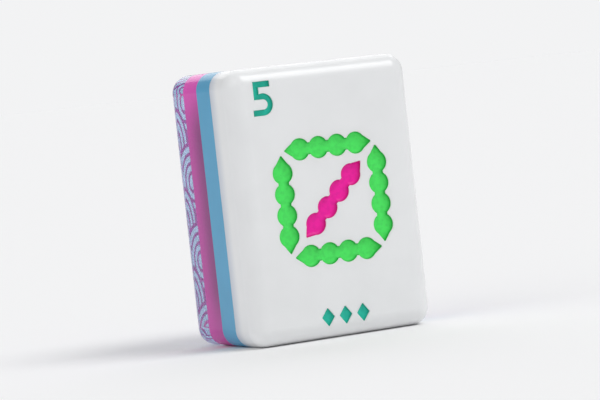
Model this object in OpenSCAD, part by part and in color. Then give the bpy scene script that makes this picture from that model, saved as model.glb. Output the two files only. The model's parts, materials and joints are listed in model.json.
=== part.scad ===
// Mahjong tile laminated from four plates, with an engraved and painted face
// and a wave pattern painted into the inner side of its clear back.
// The tile stands on its lower end: X across the face, Z up, and the face looks along -Y.

/* [Tile] */
// Width of the tile across its face
tile_w = 22; // [21:0.5:26]
// Height of the tile from its lower end to its upper end
tile_h = 30; // [28:0.5:36]
// Radius of every outer edge and corner
edge_r = 2; // [1.2:0.1:2.5]

/* [Plates] */
// Thickness of the white plate that carries the face
face_t = 5; // [3:0.1:7]
// Thickness of the blue plate
blue_t = 3.3; // [1:0.1:5]
// Thickness of the magenta plate
magenta_t = 3.4; // [1:0.1:5]
// Thickness of the clear plate that forms the back
clear_t = 4.3; // [3:0.1:6]

/* [Engraving] */
// Depth of the engraved figures
engrave_depth = 0.7; // [0.5:0.05:1.2]
// How far the paint lies below the face
paint_drop = 0.4; // [0.05:0.05:0.45]

/* [Sticks] */
// Number of beads in a stick
bead_count = 4; // [2:1:4]
// Distance between the centres of two beads
bead_pitch = 2.28; // [1.8:0.02:2.34]
// Diameter of a bead
bead_d = 2.4; // [1.8:0.05:2.5]
// How far the pointed tip stands out of the last bead
tip_len = 0.75; // [0.2:0.05:0.8]
// Width of the spine that joins the beads
spine_w = 1.3; // [0.4:0.05:1.8]
// How far a stick's tip stops short of the next stick of the square
corner_gap = 0.4; // [0.3:0.02:1.2]

/* [Numeral] */
// Height of the numeral
numeral_h = 3.7; // [3:0.1:4.2]
// Width of the numeral
numeral_w = 2.4; // [2.1:0.1:2.6]
// Width of the numeral's upper bar
bar_w = 2; // [1.6:0.05:2.1]
// Width of the numeral's strokes
stroke_w = 0.65; // [0.4:0.05:0.7]
// Distance from the tile's upper end to the numeral
numeral_top = 1.5; // [1.4:0.1:3]
// Distance from the tile's left side to the numeral
numeral_side = 2.6; // [2:0.1:4]

/* [Suit mark] */
// Number of lozenges in the mark
lozenge_count = 3; // [1:1:4]
// Width of a lozenge
lozenge_w = 1.6; // [1:0.1:2]
// Height of a lozenge
lozenge_h = 2.1; // [1.4:0.1:2.4]
// Distance between the centres of two lozenges
lozenge_pitch = 2.15; // [2.05:0.05:2.6]
// Height of the mark's middle above the lower end
mark_rise = 2.4; // [2.4:0.1:4]

/* [Wave pattern] */
// Radius of one wave scale, which is also the height of a row
scale_r = 4.5; // [4.4:0.1:6]
// Radius of the disc in the middle of a scale
disc_r = 0.85; // [0.4:0.05:0.9]
// Radius of the smallest ring, at the middle of its line
first_ring_r = 1.6; // [1.4:0.05:1.7]
// Distance from one ring to the next
ring_step = 1.05; // [0.9:0.05:1.15]
// Number of rings in a scale
ring_count = 3; // [2:1:3]
// Width of the pattern's lines
line_w = 0.65; // [0.3:0.05:0.7]
// Depth of the pattern's lines in the clear plate
line_depth = 0.04; // [0.02:0.01:0.5]
// Height of the lowest row of scales above the tile's lower end
first_row = 0; // [0:0.1:4]
// Bare border between the pattern and the sides of the tile
print_margin = 0.3; // [0.1:0.05:1]

/* [Hidden] */
$fn = 64;

// The plates are drawn lying down, with the face towards +Z, and stood up last.
tile_t = face_t + blue_t + magenta_t + clear_t;
face_front = tile_t / 2;
blue_front = face_front - face_t;
magenta_front = blue_front - blue_t;
clear_front = magenta_front - magenta_t;

// Straight stretches of the outline, between its round corners
flat_w = tile_w - 2 * edge_r;
flat_h = tile_h - 2 * edge_r;

// Paint lies on the floor of the engraving.
engrave_floor = face_front - engrave_depth;
paint_t = engrave_depth - paint_drop;
// A cutter runs on past the face that it opens.
cut_past = 1;

bead_r = bead_d / 2;
end_bead = (bead_count - 1) * bead_pitch / 2;
stick_reach = end_bead + bead_r + tip_len;
// Distance from the middle of the face to each stick of the square
square_reach = stick_reach + corner_gap;
// Half the angle of a stick's tip, whose sides enter the last bead a little inside the tangent
tip_ease = 0.95;
tip_angle = tip_ease * asin(bead_r / (bead_r + tip_len));

// The numeral's bowl opens to the left between its tail and this height.
bowl_r = numeral_w / 2;
bowl_gap_high = numeral_w - stroke_w;
stem_x = (numeral_w - bar_w) / 2;

// Rows and columns of scales that cover the tile, counted from its lower end and its middle
last_row = ceil(tile_h / scale_r);
last_column = ceil(tile_w / (4 * scale_r) + 0.5);
last_ring = ring_count - 1;

// Stands a lying drawing up on the tile's lower end.
module stand() {
    translate([0, 0, tile_h / 2]) rotate([90, 0, 0]) children();
}

// Copies a drawing into all four corners of the tile.
module each_corner() {
    for (mirror_x = [0, 1], mirror_y = [0, 1])
        mirror([mirror_x, 0, 0]) mirror([0, mirror_y, 0]) children();
}

// Quarter of a disc, between +X and +Y
module quarter_disc(r) {
    intersection() {
        circle(r);
        square(r);
    }
}

// Outline of the tile seen from the front, moved inwards by inset
module outline(inset = 0) {
    square([flat_w, tile_h - 2 * inset], center = true);
    square([tile_w - 2 * inset, flat_h], center = true);
    each_corner() translate([flat_w / 2, flat_h / 2]) quarter_disc(edge_r - inset);
}

// Section through the edge of an outer plate, with its upper corner rounded
module edge_section(t) {
    square([edge_r, t - edge_r]);
    translate([0, t - edge_r]) quarter_disc(edge_r);
}

// Plate whose upper face, at height t, is rounded off all round
module rounded_plate(t) {
    translate([-flat_w / 2, -flat_h / 2, 0]) cube([flat_w, flat_h, t]);
    for (turn = [0, 180]) rotate(turn) {
        translate([flat_w / 2, flat_h / 2, 0])
            rotate([90, 0, 0]) linear_extrude(flat_h) edge_section(t);
        translate([-flat_w / 2, flat_h / 2, 0])
            rotate([90, 0, 90]) linear_extrude(flat_w) edge_section(t);
    }
    each_corner() translate([flat_w / 2, flat_h / 2, 0])
        rotate_extrude(angle = 90) edge_section(t);
}

// Pointed end of a stick, from the middle of its last bead outwards
module tip_outline() {
    reach = bead_r + tip_len;
    shoulder_x = reach * pow(sin(tip_angle), 2);
    shoulder_y = reach * sin(tip_angle) * cos(tip_angle);
    polygon([[0, 0], [shoulder_x, -shoulder_y], [reach, 0], [shoulder_x, shoulder_y]]);
}

// Stick of beads lying along X, with a point at each end
module stick_outline() {
    for (i = [0 : bead_count - 1])
        translate([i * bead_pitch - end_bead, 0]) circle(bead_r);
    square([2 * end_bead, spine_w], center = true);
    for (turn = [0, 180])
        rotate(turn) translate([end_bead, 0]) tip_outline();
}

module stick_top_outline() {
    translate([0, square_reach]) stick_outline();
}

module stick_bottom_outline() {
    translate([0, -square_reach]) stick_outline();
}

module stick_left_outline() {
    translate([-square_reach, 0]) rotate(90) stick_outline();
}

module stick_right_outline() {
    translate([square_reach, 0]) rotate(90) stick_outline();
}

module stick_diagonal_outline() {
    rotate(45) stick_outline();
}

// Numeral drawn from its lower left corner: bar, stem, straight tail and open bowl
module numeral_strokes() {
    translate([stem_x, numeral_h - stroke_w]) square([bar_w, stroke_w]);
    translate([stem_x, bowl_gap_high]) square([stroke_w, numeral_h - bowl_gap_high]);
    square([bowl_r, stroke_w]);
    difference() {
        translate([bowl_r, bowl_r]) circle(bowl_r);
        translate([bowl_r, bowl_r]) circle(bowl_r - stroke_w);
        translate([-bowl_r, -cut_past]) square([2 * bowl_r, bowl_gap_high + cut_past]);
        translate([stem_x - bowl_r, 0]) square([bowl_r, numeral_w]);
    }
}

module numeral_outline() {
    translate([numeral_side - tile_w / 2, tile_h / 2 - numeral_top - numeral_h])
        numeral_strokes();
}

// Row of lozenges at the foot of the face
module mark_outline() {
    for (i = [0 : lozenge_count - 1])
        translate([(i - (lozenge_count - 1) / 2) * lozenge_pitch, mark_rise - tile_h / 2])
            polygon([[-lozenge_w / 2, 0], [0, -lozenge_h / 2], [lozenge_w / 2, 0], [0, lozenge_h / 2]]);
}

// Opens one engraved figure in the face.
module engraved() {
    translate([0, 0, engrave_floor]) linear_extrude(engrave_depth + cut_past) children();
}

// Paint on the floor of one engraved figure
module painted() {
    stand() translate([0, 0, engrave_floor]) linear_extrude(paint_t) children();
}

// Ring of the wave pattern, at the middle of its line
module ring(r) {
    difference() {
        circle(r + line_w / 2);
        circle(r - line_w / 2);
    }
}

// The outermost ring shows only above the middle of its scale.
module outer_ring() {
    intersection() {
        ring(first_ring_r + last_ring * ring_step);
        translate([-scale_r, -line_w]) square([2 * scale_r, 2 * scale_r]);
    }
}

// One wave scale: a disc and rings, behind the two scales of the row below
module wave_scale() {
    difference() {
        union() {
            circle(disc_r);
            for (i = [0 : last_ring - 1])
                ring(first_ring_r + i * ring_step);
            outer_ring();
        }
        for (side = [-1, 1])
            translate([side * scale_r, -scale_r]) circle(scale_r);
    }
}

// The whole pattern, with each row shifted by half a scale
module wave_outline() {
    intersection() {
        outline(print_margin);
        for (row = [-1 : last_row], column = [-last_column : last_column])
            translate([
                (2 * column + row % 2) * scale_r,
                first_row - tile_h / 2 + row * scale_r,
            ])
                wave_scale();
    }
}

module face_block() {
    color("whitesmoke") stand() difference() {
        translate([0, 0, blue_front]) rounded_plate(face_t);
        engraved() numeral_outline();
        engraved() stick_top_outline();
        engraved() stick_bottom_outline();
        engraved() stick_left_outline();
        engraved() stick_right_outline();
        engraved() stick_diagonal_outline();
        engraved() mark_outline();
    }
}

module blue_band() {
    color("steelblue") stand()
        translate([0, 0, magenta_front]) linear_extrude(blue_t) outline();
}

module magenta_band() {
    color("mediumvioletred") stand()
        translate([0, 0, clear_front]) linear_extrude(magenta_t) outline();
}

module clear_back() {
    color("lavender", 0.4) stand() difference() {
        translate([0, 0, clear_front]) mirror([0, 0, 1]) rounded_plate(clear_t);
        translate([0, 0, clear_front - line_depth]) linear_extrude(line_depth + cut_past) wave_outline();
    }
}

module wave_print() {
    color("lightsteelblue") stand()
        translate([0, 0, clear_front - line_depth]) linear_extrude(line_depth) wave_outline();
}

module numeral_five() {
    color("teal") painted() numeral_outline();
}

module stick_top() {
    color("limegreen") painted() stick_top_outline();
}

module stick_bottom() {
    color("limegreen") painted() stick_bottom_outline();
}

module stick_left() {
    color("limegreen") painted() stick_left_outline();
}

module stick_right() {
    color("limegreen") painted() stick_right_outline();
}

module stick_diagonal() {
    color("deeppink") painted() stick_diagonal_outline();
}

module suit_mark() {
    color("teal") painted() mark_outline();
}

face_block();
blue_band();
magenta_band();
clear_back();
wave_print();
numeral_five();
stick_top();
stick_bottom();
stick_left();
stick_right();
stick_diagonal();
suit_mark();
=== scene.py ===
"""Looks of a laminated mahjong tile: five of sticks, standing on its lower end.

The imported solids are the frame. The blue and magenta bands and the printed waves keep their solids and get
their finishes here. The white face, the clear back and the enamel in the engraved figures are modelled anew,
because their softened rims, pooled paint and clean optical surfaces are finer than the solids need to be.
"""

import json
import logging
import math
from abc import ABC, abstractmethod
from collections.abc import Callable, Iterator
from contextlib import contextmanager
from dataclasses import dataclass
from enum import Enum

import bmesh
import bpy
from mathutils import Matrix, Quaternion, Vector

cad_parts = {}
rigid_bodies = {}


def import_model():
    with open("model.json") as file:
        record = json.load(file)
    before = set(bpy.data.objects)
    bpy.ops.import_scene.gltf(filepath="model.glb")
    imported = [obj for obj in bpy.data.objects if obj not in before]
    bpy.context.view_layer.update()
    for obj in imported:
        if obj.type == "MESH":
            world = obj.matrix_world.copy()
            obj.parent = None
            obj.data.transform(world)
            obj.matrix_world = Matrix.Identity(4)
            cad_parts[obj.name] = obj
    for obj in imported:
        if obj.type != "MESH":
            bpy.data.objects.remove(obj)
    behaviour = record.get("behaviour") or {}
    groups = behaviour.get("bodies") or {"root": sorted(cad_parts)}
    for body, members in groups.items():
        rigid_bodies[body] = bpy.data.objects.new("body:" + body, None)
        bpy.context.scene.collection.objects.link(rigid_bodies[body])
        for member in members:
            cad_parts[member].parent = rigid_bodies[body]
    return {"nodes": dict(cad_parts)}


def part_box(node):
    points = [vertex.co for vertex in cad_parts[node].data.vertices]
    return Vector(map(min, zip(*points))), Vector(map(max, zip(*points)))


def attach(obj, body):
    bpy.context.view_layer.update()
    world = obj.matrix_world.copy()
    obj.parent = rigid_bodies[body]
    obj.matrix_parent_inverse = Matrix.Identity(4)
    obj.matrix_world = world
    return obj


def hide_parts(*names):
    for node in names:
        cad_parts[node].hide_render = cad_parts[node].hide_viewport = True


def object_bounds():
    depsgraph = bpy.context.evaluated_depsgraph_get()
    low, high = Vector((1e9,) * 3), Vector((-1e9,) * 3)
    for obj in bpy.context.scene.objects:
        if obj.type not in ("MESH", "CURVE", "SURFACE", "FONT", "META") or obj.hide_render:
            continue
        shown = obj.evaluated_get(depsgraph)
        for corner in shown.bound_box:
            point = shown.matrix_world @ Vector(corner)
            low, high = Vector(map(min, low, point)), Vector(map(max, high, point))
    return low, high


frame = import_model()
CAD_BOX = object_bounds()

LOG = logging.getLogger("mahjong_tile")
# One millimetre in metres
MM = 0.001
# Points closer than this count as one, in millimetres
SLACK = 0.002
# Cosine past which a face counts as looking along an axis
SQUARE_ON = 0.99
# Refractive index of acrylic
ACRYLIC_IOR = 1.49
# Specular level of the coloured plates, whose sides are buffed and not polished
BUFFED_SHINE = 0.3
# Height of the scuffs in a buffed skin, as a share of its waviness
SCUFF_SHARE = 0.12

Colour = tuple[float, float, float]
Socket = bpy.types.NodeSocket


def tint(red: int, green: int, blue: int) -> Colour:
    """Linear colour of an 8-bit display colour.

    Args:
        red: Red from 0 to 255.
        green: Green from 0 to 255.
        blue: Blue from 0 to 255.

    Returns:
        The colour as linear red, green and blue.
    """
    def linear(level: int) -> float:
        """One channel, taken back through the display curve."""
        share = level / 255
        return share / 12.92 if share <= 0.04045 else ((share + 0.055) / 1.055) ** 2.4

    return linear(red), linear(green), linear(blue)


class Board:
    """Node tree of a material, world or node group, with short calls for the nodes that the looks use."""

    def __init__(self, tree: bpy.types.NodeTree) -> None:
        """Starts on a tree, which the nodes go into."""
        self.tree = tree

    @classmethod
    def fresh(cls, owner: bpy.types.Material | bpy.types.World) -> "Board":
        """Switches an owner's nodes on and clears them.

        Args:
            owner: The material or world.

        Returns:
            A board on the owner's empty tree.
        """
        owner.use_nodes = True
        owner.node_tree.nodes.clear()
        return cls(owner.node_tree)

    def node(self, kind: str, **settings: object) -> bpy.types.Node:
        """Adds a node.

        Args:
            kind: The node's type name.
            **settings: Properties of the node to set.

        Returns:
            The new node.
        """
        made = self.tree.nodes.new(kind)
        for name, value in settings.items():
            setattr(made, name, value)
        return made

    def feed(self, target: Socket, source: Socket | float | Colour) -> None:
        """Links a socket to an input, or sets the input to a plain value.

        Args:
            target: The input.
            source: An output socket, a number or a colour.
        """
        if isinstance(source, bpy.types.NodeSocket):
            self.tree.links.new(source, target)
        elif isinstance(source, tuple) and len(source) < len(target.default_value):
            target.default_value = (*source, 1.0)
        else:
            target.default_value = source

    def math(self, operation: str, first: Socket | float, second: Socket | float = 0.0) -> Socket:
        """Adds a Math node.

        Args:
            operation: Blender's name of the operation.
            first: First input.
            second: Second input.

        Returns:
            The node's output.
        """
        made = self.node("ShaderNodeMath", operation=operation)
        self.feed(made.inputs[0], first)
        self.feed(made.inputs[1], second)
        return made.outputs[0]

    def fade(self, value: Socket, start: float, end: float, low: float = 0.0, high: float = 1.0) -> Socket:
        """Smooth change from low at start to high at end.

        Args:
            value: The input value.
            start: Value at which the change starts.
            end: Value at which it ends.
            low: Output up to start.
            high: Output past end.

        Returns:
            The output socket.
        """
        made = self.node("ShaderNodeMapRange", interpolation_type="SMOOTHSTEP")
        for name, number in (("From Min", start), ("From Max", end), ("To Min", low), ("To Max", high)):
            made.inputs[name].default_value = number
        self.feed(made.inputs["Value"], value)
        return made.outputs["Result"]

    def blend(self, factor: Socket, first: Socket | Colour, second: Socket | Colour) -> Socket:
        """Mixes two colours.

        Args:
            factor: Share of the second colour.
            first: First colour.
            second: Second colour.

        Returns:
            The mixed colour.
        """
        made = self.node("ShaderNodeMix", data_type="RGBA")
        self.feed(made.inputs["Factor"], factor)
        colours = [socket for socket in made.inputs if socket.type == "RGBA"]
        self.feed(colours[0], first)
        self.feed(colours[1], second)
        return next(socket for socket in made.outputs if socket.type == "RGBA")

    def mottle(self, body: Colour, shade: float, patches: Socket) -> Socket:
        """Colour that falls to a share of its brightness, shade, where the patches are."""
        return self.blend(patches, body, tuple(level * shade for level in body))

    def place(self) -> Socket:
        """Object coordinates, in metres."""
        return self.node("ShaderNodeTexCoord").outputs["Object"]

    def axis(self, name: str) -> Socket:
        """Object coordinate along one axis.

        Args:
            name: X, Y or Z.

        Returns:
            The coordinate, in metres.
        """
        made = self.node("ShaderNodeSeparateXYZ")
        self.feed(made.inputs[0], self.place())
        return made.outputs[name]

    def noise(self, grain: float, detail: float) -> Socket:
        """Noise texture.

        Args:
            grain: Size of its patches in metres.
            detail: Number of finer layers.

        Returns:
            The noise, from 0 to 1.
        """
        made = self.node("ShaderNodeTexNoise")
        made.inputs["Scale"].default_value = 1 / grain
        made.inputs["Detail"].default_value = detail
        self.feed(made.inputs["Vector"], self.place())
        return made.outputs["Fac"]

    def emboss(self, shader: bpy.types.Node, height: Socket, relief: float) -> None:
        """Gives a shader's surface a fine relief.

        Args:
            shader: The shader.
            height: Height over the surface, of which 1 is the relief.
            relief: The relief in metres.
        """
        made = self.node("ShaderNodeBump")
        made.inputs["Distance"].default_value = relief
        self.feed(made.inputs["Height"], height)
        self.feed(shader.inputs["Normal"], made.outputs["Normal"])


def polish_group() -> bpy.types.NodeTree:
    """Node group of a buffed plastic skin, made once.

    Returns:
        The group, with inputs Roughness and Variation and outputs Roughness, Height and Tone.
    """
    made = bpy.data.node_groups.get("buffed_skin")
    if made:
        return made
    made = bpy.data.node_groups.new("buffed_skin", "ShaderNodeTree")
    for name in ("Roughness", "Variation"):
        made.interface.new_socket(name, in_out="INPUT", socket_type="NodeSocketFloat")
    for name in ("Roughness", "Height", "Tone"):
        made.interface.new_socket(name, in_out="OUTPUT", socket_type="NodeSocketFloat")
    board = Board(made)
    given = board.node("NodeGroupInput")
    result = board.node("NodeGroupOutput")
    waviness = board.noise(grain=2.4 * MM, detail=1.0)
    scuffs = board.noise(grain=0.12 * MM, detail=2.0)
    patches = board.noise(grain=6 * MM, detail=3.0)
    spread = board.math("MULTIPLY", board.math("SUBTRACT", patches, 0.5), given.outputs["Variation"])
    board.feed(result.inputs["Roughness"], board.math("ADD", given.outputs["Roughness"], spread))
    fine = board.math("MULTIPLY", scuffs, SCUFF_SHARE)
    board.feed(result.inputs["Height"], board.math("ADD", waviness, fine))
    board.feed(result.inputs["Tone"], patches)
    return made


@dataclass(frozen=True)
class Finish(ABC):
    """Finish of one material slot of the record.

    Attributes:
        slot: Name of the slot.
    """

    slot: str

    def material(self) -> bpy.types.Material:
        """The finish's material, made once.

        Returns:
            The material.
        """
        name = f"{self.slot}_finish"
        made = bpy.data.materials.get(name)
        if made:
            return made
        made = bpy.data.materials.new(name)
        board = Board.fresh(made)
        shader = board.node("ShaderNodeBsdfPrincipled")
        board.feed(board.node("ShaderNodeOutputMaterial").inputs["Surface"], shader.outputs["BSDF"])
        self.paint(board, shader)
        return made

    @abstractmethod
    def paint(self, board: Board, shader: bpy.types.Node) -> None:
        """Sets the shader up.

        Args:
            board: The material's tree.
            shader: Its Principled shader.
        """

    def buff(
        self, board: Board, shader: bpy.types.Node, roughness: float, variation: float, relief: float
    ) -> Socket:
        """Gives the shader a buffed skin.

        Args:
            board: The material's tree.
            shader: Its Principled shader.
            roughness: Mean roughness.
            variation: How far the roughness varies.
            relief: Height of the skin's waviness in metres.

        Returns:
            The skin's broad tone, from 0 to 1.
        """
        skin = board.node("ShaderNodeGroup", node_tree=polish_group())
        skin.inputs["Roughness"].default_value = roughness
        skin.inputs["Variation"].default_value = variation
        board.feed(shader.inputs["Roughness"], skin.outputs["Roughness"])
        board.emboss(shader, skin.outputs["Height"], relief)
        return skin.outputs["Tone"]


@dataclass(frozen=True)
class WhiteAcrylic(Finish):
    """Milky white acrylic, with a painted bluish shade next to the blue plate that stands in for that
    plate's light seen through the white.

    Attributes:
        front: Colour towards the face.
        painted_seam_shade: Painted bluish shade next to the blue plate.
        seam_y: Place of the joint with the blue plate, in metres.
        seam_reach: How far the painted shade reaches from that joint, in metres.
        scatter: Share of the light that scatters inside.
        scatter_reach: How far it scatters, in metres.
    """

    front: Colour
    painted_seam_shade: Colour
    seam_y: float
    seam_reach: float
    scatter: float = 0.35
    scatter_reach: float = 0.7 * MM

    def paint(self, board: Board, shader: bpy.types.Node) -> None:
        """Sets the shader up.

        Args:
            board: The material's tree.
            shader: Its Principled shader.
        """
        tone = self.buff(board, shader, roughness=0.24, variation=0.08, relief=0.006 * MM)
        # Painted shade: the colour turns bluish and darker next to the blue plate, for that plate's light
        # seen through the white.
        painted_seam_shade_share = board.fade(board.axis("Y"), self.seam_y - self.seam_reach, self.seam_y)
        body = board.mottle(self.front, shade=0.97, patches=board.fade(tone, start=0.35, end=0.75))
        board.feed(shader.inputs["Base Color"], board.blend(painted_seam_shade_share, body, self.painted_seam_shade))
        shader.inputs["IOR"].default_value = ACRYLIC_IOR
        shader.inputs["Subsurface Weight"].default_value = self.scatter
        shader.inputs["Subsurface Radius"].default_value = (1.0, 1.0, 1.0)
        shader.inputs["Subsurface Scale"].default_value = self.scatter_reach


@dataclass(frozen=True)
class BlueAcrylic(Finish):
    """Opaque light blue acrylic.

    Attributes:
        body: Its colour.
    """

    body: Colour

    def paint(self, board: Board, shader: bpy.types.Node) -> None:
        """Sets the shader up.

        Args:
            board: The material's tree.
            shader: Its Principled shader.
        """
        tone = self.buff(board, shader, roughness=0.22, variation=0.08, relief=0.006 * MM)
        body = board.mottle(self.body, shade=0.92, patches=board.fade(tone, start=0.3, end=0.7))
        board.feed(shader.inputs["Base Color"], body)
        shader.inputs["IOR"].default_value = ACRYLIC_IOR
        shader.inputs["Specular IOR Level"].default_value = BUFFED_SHINE


@dataclass(frozen=True)
class MagentaAcrylic(Finish):
    """Translucent magenta acrylic, which glows where light enters at its ends and next to the clear plate.

    Attributes:
        core: Colour of the sides next to the blue plate, from which the painted light rises.
        painted_rear_light: Painted light: colour of the sides next to the clear plate.
        painted_glow: Painted light: colour at the ends.
        ground: Colour of the face that the clear plate covers.
        front_y: Place of the front face, in metres.
        rear_y: Place of the face that the clear plate covers, in metres.
        middle_z: Height of the plate's middle, in metres.
        half_h: Half the plate's height, in metres.
        painted_glow_reach: How far the painted light at the ends reaches down the sides, in metres.
        rim_start: Distance from the ends at which the painted light starts on the covered face, in metres.
        rim_end: Distance from the ends at which that painted light is full, in metres.
        lower_share: Strength of the painted light at the lower end, as a share of that at the upper end.
        skin: Depth over which the covered face's colour gives way to the sides', in metres.
        skin: Depth over which the rear face's colour gives way to the sides', in metres.
    """

    core: Colour
    painted_rear_light: Colour
    painted_glow: Colour
    ground: Colour
    front_y: float
    rear_y: float
    middle_z: float
    half_h: float
    painted_glow_reach: float
    rim_start: float
    rim_end: float
    lower_share: float
    skin: float

    def paint(self, board: Board, shader: bpy.types.Node) -> None:
        """Sets the shader up.

        Args:
            board: The material's tree.
            shader: Its Principled shader.
        """
        tone = self.buff(board, shader, roughness=0.2, variation=0.08, relief=0.006 * MM)
        across = board.axis("Y")
        height = board.axis("Z")
        # Painted light: the sides get lighter from the blue plate towards the clear plate.
        body = board.blend(board.fade(across, self.front_y, self.rear_y), self.core, self.painted_rear_light)
        away = board.math("ABSOLUTE", board.math("SUBTRACT", height, self.middle_z))
        # Painted light at the ends: on the sides and along the ends of the covered face, stronger at the
        # upper end.
        share = board.fade(height, self.middle_z - self.painted_glow_reach, self.middle_z, low=self.lower_share)
        painted_glow_share = board.math("MULTIPLY", share, board.fade(away, self.half_h - self.painted_glow_reach, self.half_h))
        rim = board.fade(away, self.half_h - self.rim_start, self.half_h - self.rim_end)
        painted_rim_glow_share = board.math("MULTIPLY", share, rim)
        covered = board.fade(across, self.rear_y - self.skin, self.rear_y - self.skin / 2)
        side = board.blend(painted_glow_share, body, self.painted_glow)
        under = board.blend(painted_rim_glow_share, self.ground, self.painted_glow)
        cloud = board.fade(tone, start=0.3, end=0.75, high=0.12)
        shown = board.blend(covered, side, under)
        board.feed(shader.inputs["Base Color"], board.blend(cloud, shown, self.core))
        shader.inputs["IOR"].default_value = ACRYLIC_IOR
        shader.inputs["Specular IOR Level"].default_value = BUFFED_SHINE


@dataclass(frozen=True)
class ClearAcrylic(Finish):
    """Clear acrylic, polished all round.

    Attributes:
        body: Its faint tint.
    """

    body: Colour

    def paint(self, board: Board, shader: bpy.types.Node) -> None:
        """Sets the shader up.

        Args:
            board: The material's tree.
            shader: Its Principled shader.
        """
        tone = self.buff(board, shader, roughness=0.02, variation=0.03, relief=0.002 * MM)
        body = board.mottle(self.body, shade=0.985, patches=board.fade(tone, start=0.3, end=0.7))
        board.feed(shader.inputs["Base Color"], body)
        shader.inputs["IOR"].default_value = ACRYLIC_IOR
        shader.inputs["Transmission Weight"].default_value = 1.0


@dataclass(frozen=True)
class WaveInk(Finish):
    """Matt paint of the wave pattern.

    Attributes:
        body: Its colour.
    """

    body: Colour

    def paint(self, board: Board, shader: bpy.types.Node) -> None:
        """Sets the shader up.

        Args:
            board: The material's tree.
            shader: Its Principled shader.
        """
        patches = board.fade(board.noise(grain=0.5 * MM, detail=3.0), start=0.35, end=0.7)
        board.feed(shader.inputs["Base Color"], board.mottle(self.body, shade=0.9, patches=patches))
        board.feed(shader.inputs["Roughness"], board.fade(patches, start=0.0, end=1.0, low=0.5, high=0.65))
        shader.inputs["Specular IOR Level"].default_value = 0.0


@dataclass(frozen=True)
class Enamel(Finish):
    """Enamel that has pooled in an engraved figure, with painted shade that darkens it up its walls.

    Attributes:
        pool: Colour of the pooled paint.
        painted_wall_shade: Painted shade of the paint on the walls.
        floor_y: Place of the engraving's floor, in metres.
        face_y: Place of the tile's face, in metres.
        pool_share: Share of the depth below which the pool's colour is pure.
        wall_share: Share of the depth above which the painted shade is full.
    """

    pool: Colour
    painted_wall_shade: Colour
    floor_y: float
    face_y: float
    pool_share: float = 0.75
    wall_share: float = 0.2

    def paint(self, board: Board, shader: bpy.types.Node) -> None:
        """Sets the shader up.

        Args:
            board: The material's tree.
            shader: Its Principled shader.
        """
        depth = self.floor_y - self.face_y
        pool_y, wall_y = self.face_y + self.pool_share * depth, self.face_y + self.wall_share * depth
        # Painted shade: the paint darkens from its pool up the walls towards the face.
        up = board.fade(board.axis("Y"), pool_y, wall_y)
        patches = board.noise(grain=0.45 * MM, detail=3.0)
        pool = board.mottle(self.pool, shade=0.9, patches=board.fade(patches, start=0.4, end=0.7))
        board.feed(shader.inputs["Base Color"], board.blend(up, pool, self.painted_wall_shade))
        board.feed(shader.inputs["Roughness"], board.fade(patches, start=0.3, end=0.7, low=0.36, high=0.48))
        shader.inputs["Specular IOR Level"].default_value = 0.25
        board.emboss(shader, board.noise(grain=0.35 * MM, detail=2.0), relief=0.02 * MM)


def focus(piece: bpy.types.Object) -> None:
    """Selects one piece alone and makes it active.

    Args:
        piece: The piece.
    """
    bpy.ops.object.select_all(action="DESELECT")
    piece.select_set(True)
    bpy.context.view_layer.objects.active = piece


@contextmanager
def editing(piece: bpy.types.Object) -> Iterator[None]:
    """Opens a piece in edit mode with nothing selected, and closes it again.

    Args:
        piece: The piece to edit.

    Yields:
        Nothing.
    """
    focus(piece)
    bpy.ops.object.mode_set(mode="EDIT")
    bpy.ops.mesh.select_all(action="DESELECT")
    yield
    bpy.ops.object.mode_set(mode="OBJECT")


def pick_faces(piece: bpy.types.Object, wanted: Callable[[bmesh.types.BMFace], bool]) -> None:
    """Selects the faces that pass a test, and no others.

    Args:
        piece: The piece, in edit mode.
        wanted: The test.
    """
    bpy.ops.mesh.select_mode(type="FACE")
    shape = bmesh.from_edit_mesh(piece.data)
    for face in shape.faces:
        face.select_set(wanted(face))
    shape.select_flush_mode()
    bmesh.update_edit_mesh(piece.data)


def pick_edges(piece: bpy.types.Object, wanted: Callable[[Vector, Vector], bool]) -> None:
    """Selects the edges whose ends pass a test, and no others.

    Args:
        piece: The piece, in edit mode.
        wanted: The test of an edge's two ends.
    """
    bpy.ops.mesh.select_mode(type="EDGE")
    shape = bmesh.from_edit_mesh(piece.data)
    for edge in shape.edges:
        edge.select_set(wanted(edge.verts[0].co, edge.verts[1].co))
    shape.select_flush_mode()
    bmesh.update_edit_mesh(piece.data)


def settle() -> bpy.types.Object:
    """Applies the active object's place, turn and scale to its mesh and returns the object."""
    bpy.ops.object.transform_apply(location=True, rotation=True, scale=True)
    return bpy.context.object


def box_mm(node: str) -> tuple[Vector, Vector]:
    """Lowest and highest corner of a node's box, in millimetres."""
    low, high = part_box(node)
    return low / MM, high / MM


@dataclass(frozen=True)
class Line:
    """Straight stroke of an outline to a point."""

    x: float
    z: float


@dataclass(frozen=True)
class Arc:
    """Round stroke of an outline about a centre, counter-clockwise as seen from the front."""

    x: float
    z: float
    degrees: float
    steps: int


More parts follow.
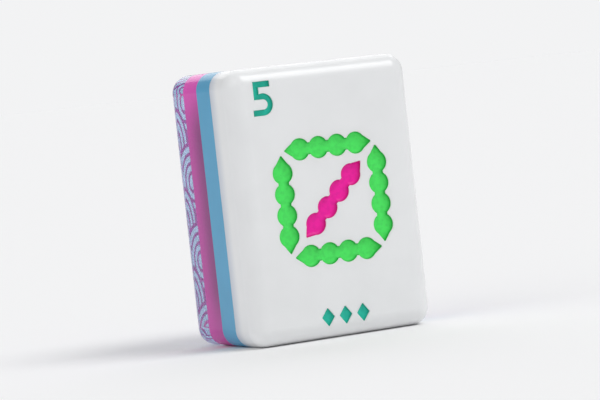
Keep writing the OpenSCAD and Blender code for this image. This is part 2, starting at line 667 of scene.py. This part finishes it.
@dataclass(frozen=True)
class Outline:
    """Closed outline across y: a starting point and the strokes that lead back to it."""

    x: float
    z: float
    strokes: tuple[Line | Arc, ...]

    def draw(self, piece: bpy.types.Object, y: float) -> None:
        """Draws the outline into a piece by extruding and spinning one point.

        Args:
            piece: The piece, in edit mode.
            y: Where the outline lies along y.
        """
        x, z = self.x, self.z
        bpy.ops.mesh.select_mode(type="VERT")
        bpy.ops.mesh.select_all(action="DESELECT")
        bpy.ops.mesh.primitive_plane_add(size=1.0, location=(x, y, z))
        bpy.ops.mesh.merge(type="CENTER")
        for stroke in self.strokes:
            if isinstance(stroke, Line):
                move = (stroke.x - x, 0, stroke.z - z)
                bpy.ops.mesh.extrude_region_move(TRANSFORM_OT_translate={"value": move})
                x, z = stroke.x, stroke.z
                continue
            turn = math.radians(stroke.degrees)
            bpy.ops.mesh.spin(steps=stroke.steps, angle=turn, center=(stroke.x, y, stroke.z), axis=(0, 1, 0))
            away = Vector((x - stroke.x, z - stroke.z))
            away.rotate(Matrix.Rotation(turn, 2))
            x, z = stroke.x + away.x, stroke.z + away.y
        bpy.ops.mesh.select_linked()
        bpy.ops.mesh.remove_doubles(threshold=SLACK)
        bmesh.update_edit_mesh(piece.data)


@dataclass(frozen=True)
class Level:
    """One step of a loft: how far its outline is moved outwards and where it lies along y."""

    grow: float
    y: float

    def holds(self, start: Vector, end: Vector) -> bool:
        """Tells whether an edge from start to end lies on the level."""
        return abs(start.y - self.y) < SLACK and abs(end.y - self.y) < SLACK


def loft(shape: Callable[[float], Outline], levels: list[Level]) -> bpy.types.Object:
    """Builds a closed shape through outlines at several levels.

    Args:
        shape: Gives the outline for a distance that it is moved outwards.
        levels: The levels, from one end of the shape to the other.

    Returns:
        The shape.
    """
    bpy.ops.object.select_all(action="DESELECT")
    bpy.ops.mesh.primitive_plane_add(size=1.0)
    made = bpy.context.object
    with editing(made):
        bpy.ops.mesh.select_all(action="SELECT")
        bpy.ops.mesh.delete(type="VERT")
        for level in levels:
            shape(level.grow).draw(made, level.y)
        for pair in zip(levels, levels[1:]):
            pick_edges(made, lambda start, end: any(level.holds(start, end) for level in pair))
            bpy.ops.mesh.bridge_edge_loops()
        for level in (levels[0], levels[-1]):
            pick_edges(made, level.holds)
            bpy.ops.mesh.edge_face_add()
        bpy.ops.mesh.select_all(action="SELECT")
        bpy.ops.mesh.normals_make_consistent(inside=False)
    return made


def rounded_plate(node: str, outer_y: float, edge_r: float, edge_steps: int) -> bpy.types.Object:
    """Models a plate of a node's size, with round corners and a round edge about its outer face.

    Args:
        node: The node.
        outer_y: Where the outer face lies along y.
        edge_r: Radius of the corners and of the edge.
        edge_steps: Number of facets across them.

    Returns:
        The plate.
    """
    low, high = box_mm(node)
    bpy.ops.object.select_all(action="DESELECT")
    bpy.ops.mesh.primitive_cube_add(size=1.0, location=(low + high) / 2)
    bpy.context.object.scale = high - low
    plate = settle()
    with editing(plate):
        pick_edges(plate, lambda a, b: abs(a.y - b.y) > SLACK or abs(a.y - outer_y) < SLACK)
        bpy.ops.mesh.bevel(offset=edge_r, segments=edge_steps, profile=0.5, affect="EDGES")
    return plate


def engrave(target: bpy.types.Object, tool: bpy.types.Object) -> None:
    """Cuts a tool's shape out of a piece and deletes the tool.

    Args:
        target: The piece that is cut.
        tool: The shape to cut out.
    """
    cut = target.modifiers.new("pocket", "BOOLEAN")
    cut.operation = "DIFFERENCE"
    cut.solver = "EXACT"
    cut.object = tool
    focus(target)
    bpy.ops.object.modifier_apply(modifier=cut.name)
    discard(tool)


def discard(piece: bpy.types.Object) -> None:
    """Deletes a piece and its mesh.

    Args:
        piece: The piece.
    """
    mesh = piece.data
    bpy.data.objects.remove(piece)
    bpy.data.meshes.remove(mesh)


def copy_of(piece: bpy.types.Object) -> bpy.types.Object:
    """Copies a piece with a mesh of its own.

    Args:
        piece: The piece.

    Returns:
        The copy.
    """
    focus(piece)
    bpy.ops.object.duplicate(linked=False)
    return bpy.context.object


def smooth(piece: bpy.types.Object, crease: float) -> None:
    """Smooths a piece over its gentle edges, with flat faces left flat.

    Args:
        piece: The piece.
        crease: Edges turning by more than this stay sharp, in degrees.
    """
    focus(piece)
    bpy.ops.object.shade_smooth_by_angle(angle=math.radians(crease))
    even = piece.modifiers.new("even", "WEIGHTED_NORMAL")
    even.weight = 100
    even.keep_sharp = True
    bpy.ops.object.modifier_apply(modifier=even.name)


def hand_over(piece: bpy.types.Object, name: str, finish: Finish, *nodes: str) -> None:
    """Brings a piece from millimetres to metres, names and dresses it and lets it stand for its nodes.

    Args:
        piece: The piece.
        name: Its name.
        finish: Its finish.
        *nodes: The nodes that it replaces.
    """
    focus(piece)
    piece.scale = (MM, MM, MM)
    settle()
    piece.name = piece.data.name = name
    piece.data.materials.clear()
    piece.data.materials.append(finish.material())
    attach(piece, "root")
    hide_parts(*nodes)
    LOG.info("%s: %d faces, stands for %s", name, len(piece.data.polygons), ", ".join(nodes))


@dataclass
class Figure(ABC):
    """One engraved and painted figure of the face, with its sizes in millimetres.

    Attributes:
        nodes: Nodes of the paint that the figure stands for.
        finish: Finish of the paint.
        dish: Steps by which the paint's surface sinks inwards from its edge.
        rim: Width of the softened rim of a pocket.
        rim_drop: How far below the face the paint's edge lies.
        bed: How far the paint is sunk into the walls and the floor of its pocket.
        past: How far a cutting tool stands out of the face.
        least_r: Least radius of a round corner of an outline that is moved inwards.
        crease: Edges of the paint turning by more than this stay sharp, in degrees.
    """

    nodes: tuple[str, ...]
    finish: Finish
    dish: tuple[Level, ...]
    rim: float = 0.05
    rim_drop: float = 0.06
    bed: float = 0.01
    past: float = 0.5
    least_r: float = 0.01
    crease: float = 60.0

    @property
    def face_y(self) -> float:
        """Place of the face along y."""
        return box_mm("face_block")[0].y

    @property
    def floor_y(self) -> float:
        """Place along y of the engraving's floor."""
        return box_mm(self.nodes[0])[1].y

    @abstractmethod
    def outline(self, grow: float) -> Outline:
        """Outline of one copy of the figure, about the origin.

        Args:
            grow: How far the outline is moved outwards.

        Returns:
            The outline.
        """

    @abstractmethod
    def places(self) -> list[tuple[str, Vector, float]]:
        """Node, middle and turn in degrees of each copy of the outline."""

    def put(self, piece: bpy.types.Object, middle: Vector, turn: float) -> bpy.types.Object:
        """Turns a shape about y and moves it to its place.

        Args:
            piece: The shape, made about the origin.
            middle: Where its middle goes, of which y isn't read.
            turn: Turn to the left, seen from the front, in degrees.

        Returns:
            The piece.
        """
        focus(piece)
        piece.rotation_euler = (0, -math.radians(turn), 0)
        piece.location = (middle.x, 0, middle.z)
        return settle()

    def cutters(self) -> list[bpy.types.Object]:
        """Tools that cut the figure's pockets, each with a softened rim.

        Returns:
            One tool for each copy of the outline.
        """
        tool = loft(self.outline, [
            Level(self.rim, self.face_y - self.past),
            Level(self.rim, self.face_y),
            Level(0.0, self.face_y + self.rim),
            Level(0.0, self.floor_y),
        ])
        made = [self.put(copy_of(tool), middle, turn) for _, middle, turn in self.places()]
        discard(tool)
        return made

    def enamel(self) -> None:
        """Builds the paint in each pocket: it pools on the floor and climbs the walls to the rim."""
        top = self.face_y + self.rim_drop
        pool = loft(self.outline, [
            Level(self.bed, self.floor_y + self.bed),
            Level(self.bed, top),
            *(Level(self.bed + step.grow, top + step.y) for step in self.dish),
        ])
        smooth(pool, self.crease)
        copies: dict[str, list[bpy.types.Object]] = {}
        for node, middle, turn in self.places():
            copies.setdefault(node, []).append(self.put(copy_of(pool), middle, turn))
        discard(pool)
        for node, pieces in copies.items():
            focus(pieces[0])
            for piece in pieces[1:]:
                piece.select_set(True)
            bpy.ops.object.join()
            hand_over(bpy.context.object, f"enamel_{node}", self.finish, node)


@dataclass
class BeadSticks(Figure):
    """Sticks of beads with pointed tips.

    Attributes:
        turns: Turn of each stick in degrees.
        level_node: Node of a level stick, whose box gives the size of all sticks.
        bead_count: Number of beads in a stick.
        tip_len: How far a tip stands out of the last bead.
        spine_w: Width of a stick between two beads.
        tip_ease: Slope of a tip's sides, as a share of the slope of the tangents to the bead.
        tip_r: Radius of a tip's rounded point.
        bead_steps: Number of facets along one side of a bead.
        tip_steps: Number of facets around a point.
    """

    dish: tuple[Level, ...] = (
        Level(-0.06, 0.2), Level(-0.15, 0.31), Level(-0.28, 0.38), Level(-0.42, 0.42), Level(-0.54, 0.435)
    )
    turns: tuple[float, ...] = (0.0,)
    level_node: str = "stick_top"
    bead_count: int = 4
    tip_len: float = 0.75
    spine_w: float = 1.3
    tip_ease: float = 0.95
    tip_r: float = 0.12
    bead_steps: int = 26
    tip_steps: int = 6

    def places(self) -> list[tuple[str, Vector, float]]:
        """Node, middle and turn in degrees of each stick."""
        middles = [sum(box_mm(name), Vector()) / 2 for name in self.nodes]
        return list(zip(self.nodes, middles, self.turns))

    def outline(self, grow: float) -> Outline:
        """Outline of one stick, lying along x.

        Args:
            grow: How far the outline is moved outwards.

        Returns:
            The outline.
        """
        low, high = box_mm(self.level_node)
        bead_r = (high.z - low.z) / 2
        reach = bead_r + self.tip_len
        last = (high.x - low.x) / 2 - reach
        step = 2 * last / (self.bead_count - 1)
        slope = self.tip_ease * math.asin(bead_r / reach)
        grown_r = bead_r + grow
        tip = reach + grow / math.sin(slope)
        meet = math.pi / 2 - slope - math.acos(tip * math.sin(slope) / grown_r)
        neck = math.asin((self.spine_w / 2 + grow) / grown_r)
        tip_r = max(self.tip_r + grow, self.least_r)
        tip_x = last + tip - tip_r / math.sin(slope)
        tip_turn = math.pi - 2 * slope
        side = [Line(last + grown_r * math.cos(meet), grown_r * math.sin(meet))]
        for index in range(self.bead_count):
            middle = last - index * step
            begin = meet if index == 0 else neck
            end = math.pi - (meet if index == self.bead_count - 1 else neck)
            side.append(Arc(middle, 0, math.degrees(end - begin), self.bead_steps))
            if index < self.bead_count - 1:
                side.append(Line(middle - step + grown_r * math.cos(neck), grown_r * math.sin(neck)))
        shoulder = Vector((tip_x + tip_r * math.cos(tip_turn / 2), tip_r * math.sin(tip_turn / 2)))
        side.append(Line(-shoulder.x, shoulder.y))
        side.append(Arc(-tip_x, 0, math.degrees(tip_turn), self.tip_steps))
        other = [
            Line(-stroke.x, -stroke.z) if isinstance(stroke, Line) else
            Arc(-stroke.x, 0, stroke.degrees, stroke.steps) for stroke in side
        ]
        return Outline(shoulder.x, shoulder.y, (*side, *other))


@dataclass
class Numeral(Figure):
    """The numeral five: a bar, a stem, an open bowl and a straight tail.

    Attributes:
        stroke_w: Width of its strokes.
        width: Its width, which is also the diameter of the bowl.
        bar_w: Width of the upper bar.
        bowl_steps: Number of facets along each side of the bowl.
    """

    rim_drop: float = 0.1
    dish: tuple[Level, ...] = (Level(-0.06, 0.22), Level(-0.13, 0.32))
    stroke_w: float = 0.65
    width: float = 2.4
    bar_w: float = 2.0
    bowl_steps: int = 40

    def places(self) -> list[tuple[str, Vector, float]]:
        """Node, middle and turn in degrees of the numeral, whose outline is made about its bowl."""
        low, high = box_mm(self.nodes[0])
        return [(self.nodes[0], Vector((high.x - self.width / 2, 0, low.z + self.width / 2)), 0.0)]

    def outline(self, grow: float) -> Outline:
        """Outline of the numeral, with its bowl about the origin.

        Args:
            grow: How far the outline is moved outwards.

        Returns:
            The outline.
        """
        low, high = box_mm(self.nodes[0])
        bowl_r = self.width / 2
        outer, inner = bowl_r + grow, bowl_r - self.stroke_w - grow
        top = high.z - low.z - bowl_r + grow
        under = top - self.stroke_w - 2 * grow
        left = -self.bar_w / 2 - grow
        stem = left + self.stroke_w + 2 * grow
        landing = math.acos(stem / outer)
        return Outline(left, top, (
            Line(left, inner),
            Line(0, inner),
            Arc(0, 0, -180, self.bowl_steps),
            Line(-outer, -inner),
            Line(-outer, -outer),
            Line(0, -outer),
            Arc(0, 0, math.degrees(landing) + 90, self.bowl_steps),
            Line(stem, under),
            Line(self.bar_w / 2 + grow, under),
            Line(self.bar_w / 2 + grow, top),
            Line(left, top),
        ))


@dataclass
class SuitMark(Figure):
    """Row of small lozenges at the foot of the face.

    Attributes:
        count: Number of lozenges.
        lozenge_w: Width of a lozenge.
        corner_r: Radius of its rounded corners.
        corner_steps: Number of facets around a corner.
    """

    rim_drop: float = 0.13
    dish: tuple[Level, ...] = (Level(-0.06, 0.2), Level(-0.13, 0.3))
    count: int = 3
    lozenge_w: float = 1.6
    corner_r: float = 0.12
    corner_steps: int = 4

    def places(self) -> list[tuple[str, Vector, float]]:
        """Node, middle and turn in degrees of each lozenge.

        Returns:
            One of each for every lozenge, from left to right.
        """
        low, high = box_mm(self.nodes[0])
        step = (high.x - low.x - self.lozenge_w) / (self.count - 1)
        first = Vector((low.x + self.lozenge_w / 2, 0, (low.z + high.z) / 2))
        return [(self.nodes[0], first + Vector((index * step, 0, 0)), 0.0) for index in range(self.count)]

    def outline(self, grow: float) -> Outline:
        """Outline of one lozenge.

        Args:
            grow: How far the outline is moved outwards.

        Returns:
            The outline.
        """
        low, high = box_mm(self.nodes[0])
        slope = math.atan2(high.z - low.z, self.lozenge_w)
        round_r = max(self.corner_r + grow, self.least_r)
        across = self.lozenge_w / 2 + (grow - round_r) / math.sin(slope)
        up = (high.z - low.z) / 2 + (grow - round_r) / math.cos(slope)
        side = Vector((round_r * math.sin(slope), round_r * math.cos(slope)))
        wide, narrow = math.degrees(math.pi - 2 * slope), math.degrees(2 * slope)
        return Outline(across + side.x, -side.y, (
            Arc(across, 0, wide, self.corner_steps),
            Line(side.x, up + side.y),
            Arc(0, up, narrow, self.corner_steps),
            Line(-across - side.x, side.y),
            Arc(-across, 0, wide, self.corner_steps),
            Line(-side.x, -up - side.y),
            Arc(0, -up, narrow, self.corner_steps),
            Line(across + side.x, -side.y),
        ))


@dataclass
class WhiteFace:
    """White plate with the engraved face, with its sizes in millimetres.

    Attributes:
        finish: Its finish.
        figures: The figures that are cut into it.
        edge_r: Radius of its round edges.
        edge_steps: Number of facets across them.
        crease: Edges turning by more than this stay sharp, in degrees.
    """

    finish: Finish
    figures: list[Figure]
    edge_r: float = 2.0
    edge_steps: int = 14
    crease: float = 40.0

    def build(self) -> None:
        """Models the plate with its round edges and cuts the figures' pockets."""
        plate = rounded_plate("face_block", box_mm("face_block")[0].y, self.edge_r, self.edge_steps)
        for figure in self.figures:
            for tool in figure.cutters():
                engrave(plate, tool)
        smooth(plate, self.crease)
        hand_over(plate, "white_face", self.finish, "face_block")


@dataclass
class ClearBack:
    """Clear plate over the printed waves, with its sizes in millimetres.

    Attributes:
        finish: Its finish.
        edge_r: Radius of its round edges.
        edge_steps: Number of facets across them.
        bite: How far its inner face reaches into the magenta plate, and stays inside its sides.
        crease: Edges turning by more than this stay sharp, in degrees.
    """

    finish: Finish
    edge_r: float = 2.0
    edge_steps: int = 16
    bite: float = 0.05
    crease: float = 30.0

    def build(self) -> None:
        """Models the plate, whose inner face bites a hair into the magenta plate, so no air lies between."""
        plate = rounded_plate("clear_back", box_mm("clear_back")[1].y, self.edge_r, self.edge_steps)
        with editing(plate):
            pick_faces(plate, lambda face: face.normal.y < -SQUARE_ON)
            bpy.ops.mesh.inset(thickness=self.bite, depth=self.bite)
        smooth(plate, self.crease)
        hand_over(plate, "clear_back_plate", self.finish, "clear_back")


@dataclass
class Bands:
    """Solids that keep their shape and get a finish.

    Attributes:
        finishes: Finish of each node.
    """

    finishes: dict[str, Finish]

    def dress(self) -> None:
        """Gives each solid its finish."""
        for name, finish in self.finishes.items():
            piece = frame["nodes"][name]
            piece.data.materials.clear()
            piece.data.materials.append(finish.material())
            LOG.info("%s: keeps its solid", name)


class LampRole(Enum):
    """What a lamp does in the studio."""

    KEY = "key"
    FILL = "fill"
    BACK = "back"


@dataclass(frozen=True)
class Lamp:
    """Broad soft lamp far away.

    Attributes:
        role: What it does.
        azimuth: Its direction from the tile, to the right of the face, in degrees.
        elevation: Its height above the floor, in degrees.
        breadth: How wide it looks from the tile, in degrees.
        strength: Its light on a surface that faces it.
    """

    role: LampRole
    azimuth: float
    elevation: float
    breadth: float
    strength: float

    def away(self) -> Vector:
        """Direction from the tile to the lamp."""
        turn, rise = math.radians(self.azimuth), math.radians(self.elevation)
        return Vector((math.sin(turn) * math.cos(rise), -math.cos(turn) * math.cos(rise), math.sin(rise)))

    def floor_share(self) -> float:
        """Light that a white floor sends back from this lamp."""
        return self.strength * self.away().z / math.pi

    def light(self) -> None:
        """Hangs the lamp."""
        bpy.ops.object.light_add(type="SUN", location=self.away())
        lamp = bpy.context.object
        lamp.name = f"{self.role.value}_lamp"
        lamp.data.angle = math.radians(self.breadth)
        lamp.data.energy = self.strength
        lamp.rotation_euler = self.away().to_track_quat("Z", "Y").to_euler()


@dataclass
class Studio:
    """Pale floor, soft light and the camera, with its sizes in metres.

    Attributes:
        target: Point that the camera looks at.
        lamps: The lamps.
        floor_w: Width of the floor.
        floor_tone: Colour of the floor.
        sky_tone: Colour of the even light from all sides.
        sky_strength: Strength of that light.
        eye: Place of the camera.
        roll: Turn of the camera about its line of sight, in degrees.
        lens: Its focal length in millimetres.
        nearest: Distance at which it starts to see.
        farthest: Distance up to which it sees.
    """

    target: Vector
    lamps: tuple[Lamp, ...]
    floor_w: float = 40.0
    floor_tone: Colour = (0.93, 0.93, 0.935)
    sky_tone: Colour = (0.985, 0.992, 1.0)
    sky_strength: float = 0.41
    eye: Vector = Vector((-148.6, -291.8, 28.3)) * MM
    roll: float = -6.29
    lens: float = 178.0
    nearest: float = 0.01
    farthest: float = 100.0

    def build(self) -> None:
        """Sets the whole studio up."""
        self.lay_floor()
        self.fill_sky()
        for lamp in self.lamps:
            lamp.light()
        self.set_camera()
        bpy.context.scene.view_settings.view_transform = "Standard"

    def lay_floor(self) -> None:
        """Lays the floor under the tile."""
        bpy.ops.object.select_all(action="DESELECT")
        bpy.ops.mesh.primitive_plane_add(size=self.floor_w)
        floor = bpy.context.object
        floor.name = "floor"
        paper = bpy.data.materials.new("floor_paper")
        board = Board.fresh(paper)
        shader = board.node("ShaderNodeBsdfDiffuse")
        board.feed(shader.inputs["Color"], self.floor_tone)
        board.feed(board.node("ShaderNodeOutputMaterial").inputs["Surface"], shader.outputs["BSDF"])
        floor.data.materials.append(paper)

    def fill_sky(self) -> None:
        """Fills the world with even light, which the camera sees in the tone of the open floor."""
        world = bpy.data.worlds.new("soft_room")
        bpy.context.scene.world = world
        board = Board.fresh(world)
        light = board.node("ShaderNodeBackground")
        board.feed(light.inputs["Color"], self.sky_tone)
        board.feed(light.inputs["Strength"], self.sky_strength)
        seen = board.node("ShaderNodeBackground")
        lamps = sum(lamp.floor_share() for lamp in self.lamps)
        open_floor = [f * (s * self.sky_strength + lamps) for f, s in zip(self.floor_tone, self.sky_tone)]
        board.feed(seen.inputs["Color"], tuple(open_floor))
        path = board.node("ShaderNodeLightPath")
        choice = board.node("ShaderNodeMixShader")
        straight = board.math("MAXIMUM", path.outputs["Is Camera Ray"], path.outputs["Is Transmission Ray"])
        board.feed(choice.inputs[0], straight)
        board.feed(choice.inputs[1], light.outputs[0])
        board.feed(choice.inputs[2], seen.outputs[0])
        board.feed(board.node("ShaderNodeOutputWorld").inputs["Surface"], choice.outputs[0])

    def set_camera(self) -> None:
        """Sets the camera at the photograph's place and turn."""
        bpy.ops.object.camera_add(location=self.eye)
        camera = bpy.context.object
        camera.data.lens = self.lens
        look = (self.target - self.eye).to_track_quat("-Z", "Y")
        camera.rotation_euler = (look @ Quaternion((0, 0, 1), math.radians(self.roll))).to_euler()
        camera.data.clip_start = self.nearest
        camera.data.clip_end = self.farthest
        bpy.context.scene.camera = camera


def main() -> None:
    """Builds and dresses the tile, piece by piece, and sets up the studio."""
    logging.basicConfig(level=logging.INFO, format="%(name)s: %(message)s")
    face_low, face_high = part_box("face_block")
    band_low, band_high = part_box("magenta_band")
    depth = {"floor_y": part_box("stick_top")[1].y, "face_y": face_low.y}
    # Each enamel's second colour is painted shade for the walls of its pockets.
    green = Enamel("green_paint", pool=tint(84, 246, 108), painted_wall_shade=tint(26, 168, 62), **depth)
    pink = Enamel("pink_paint", pool=tint(255, 30, 172), painted_wall_shade=tint(200, 8, 126), **depth)
    teal = Enamel("teal_paint", pool=tint(50, 216, 190), painted_wall_shade=tint(32, 164, 144), **depth)
    # The white's second colour is a painted bluish shade next to the blue plate.
    white = WhiteAcrylic(
        "white_acrylic",
        front=tint(242, 243, 244), painted_seam_shade=tint(210, 216, 226), seam_y=face_high.y, seam_reach=2 * MM,
    )
    # The magenta's second and third colours are painted light: lighter sides by the clear plate and brighter
    # ends.
    magenta = MagentaAcrylic(
        "magenta_acrylic",
        core=tint(138, 50, 124), painted_rear_light=tint(196, 66, 166), painted_glow=tint(234, 84, 194), ground=tint(166, 54, 172),
        front_y=band_low.y, rear_y=band_high.y,
        middle_z=(band_low.z + band_high.z) / 2, half_h=(band_high.z - band_low.z) / 2,
        painted_glow_reach=7 * MM, rim_start=3 * MM, rim_end=1.9 * MM, lower_share=0.6, skin=0.02 * MM,
    )
    square = ("stick_top", "stick_bottom", "stick_left", "stick_right")
    figures = [
        BeadSticks(square, green, turns=(0, 0, 90, 90)),
        BeadSticks(("stick_diagonal",), pink, turns=(45,)),
        Numeral(("numeral_five",), teal),
        SuitMark(("suit_mark",), teal),
    ]
    WhiteFace(white, figures).build()
    for figure in figures:
        figure.enamel()
    ClearBack(ClearAcrylic("clear_acrylic", body=(0.98, 0.987, 1.0))).build()
    Bands({
        "blue_band": BlueAcrylic("blue_acrylic", body=tint(88, 170, 212)),
        "magenta_band": magenta,
        "wave_print": WaveInk("pattern_paint", body=tint(192, 222, 255)),
    }).dress()
    low, high = CAD_BOX
    key = Lamp(LampRole.KEY, azimuth=38, elevation=55, breadth=30, strength=1.2)
    fill = Lamp(LampRole.FILL, azimuth=-75, elevation=30, breadth=60, strength=0.5)
    back = Lamp(LampRole.BACK, azimuth=155, elevation=40, breadth=60, strength=0.8)
    Studio((low + high) / 2, (key, fill, back)).build()


if __name__ == "__main__":
    main()
